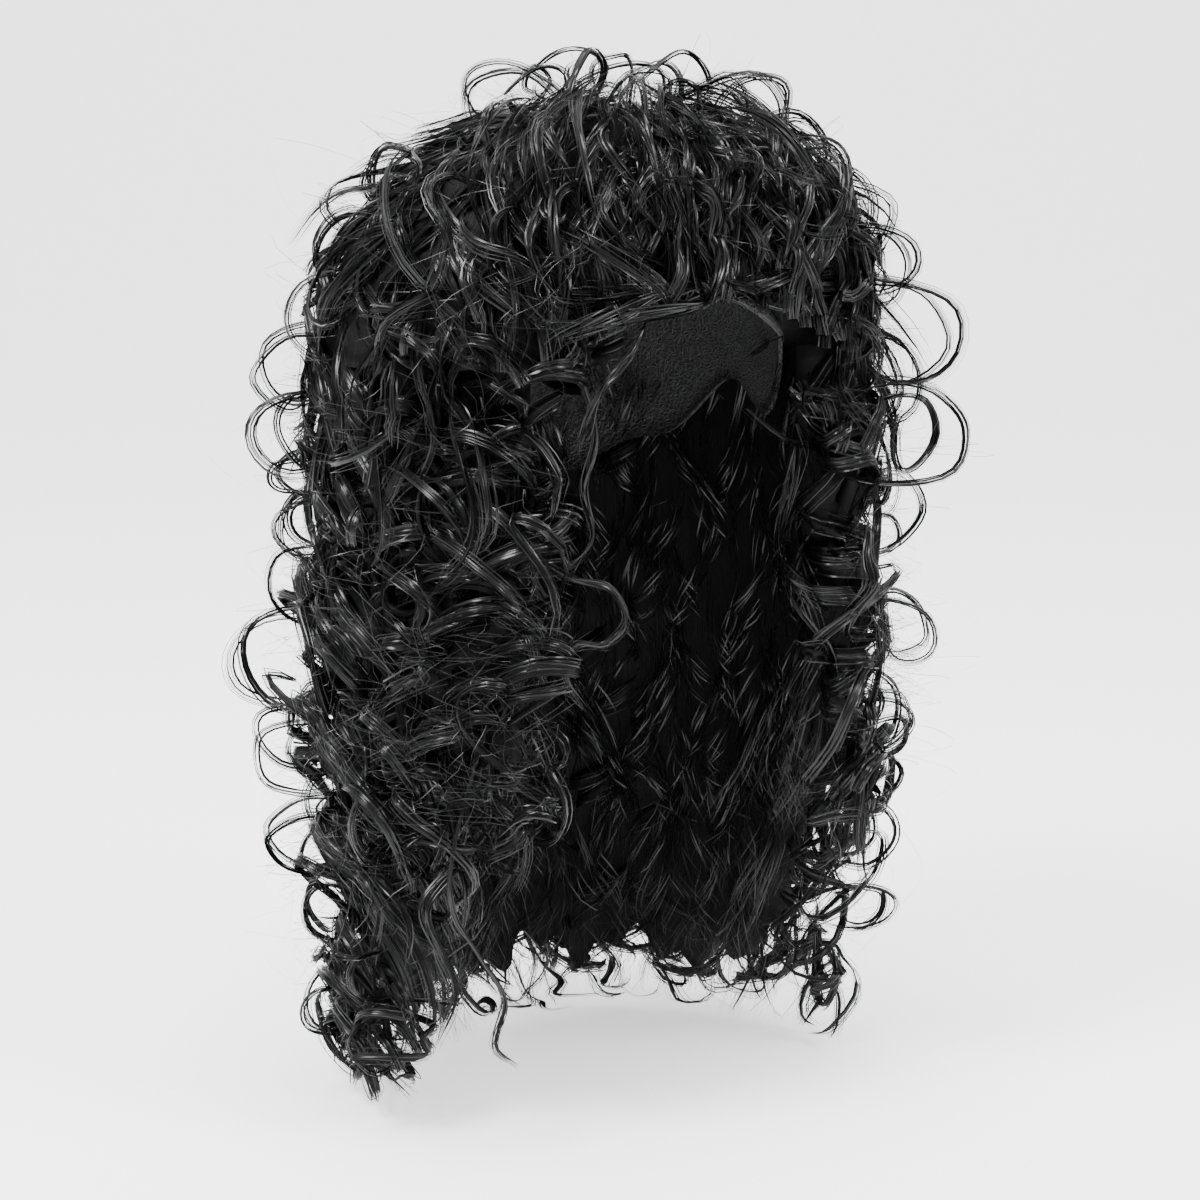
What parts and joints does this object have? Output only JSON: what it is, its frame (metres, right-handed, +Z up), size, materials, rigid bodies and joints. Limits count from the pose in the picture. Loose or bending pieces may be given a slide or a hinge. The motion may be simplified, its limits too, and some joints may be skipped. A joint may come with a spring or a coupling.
{
  "type": "long curly wig",
  "caption": "Long curly black wig: a net cap for the head, swept crown hair and groups of hanging curls round the sides and back, open at the face",
  "frame": {"origin": "inside of the cap at the top of the crown, where it sits on the head", "axes": "+Z up, the face looks along -Y, +X is the wearer's left"},
  "size_m": [0.327, 0.2473, 0.5042],
  "materials": {
    "cap_net": "dull black knitted net of thin synthetic yarn",
    "hair": "near-black synthetic hair fibre with a soft sheen along the strands"
  },
  "bodies": {
    "root": {"cap": "cap_net", "crown_hair": "hair", "curls_right_front": "hair", "curls_right_side": "hair", "curls_right_back": "hair", "curls_back": "hair", "curls_left_back": "hair", "curls_left_side": "hair", "curls_left_front": "hair", "fringe_right": "hair", "fringe_left": "hair", "temple_tendril": "hair", "cheek_curl": "hair"}
  },
  "joints": []
}
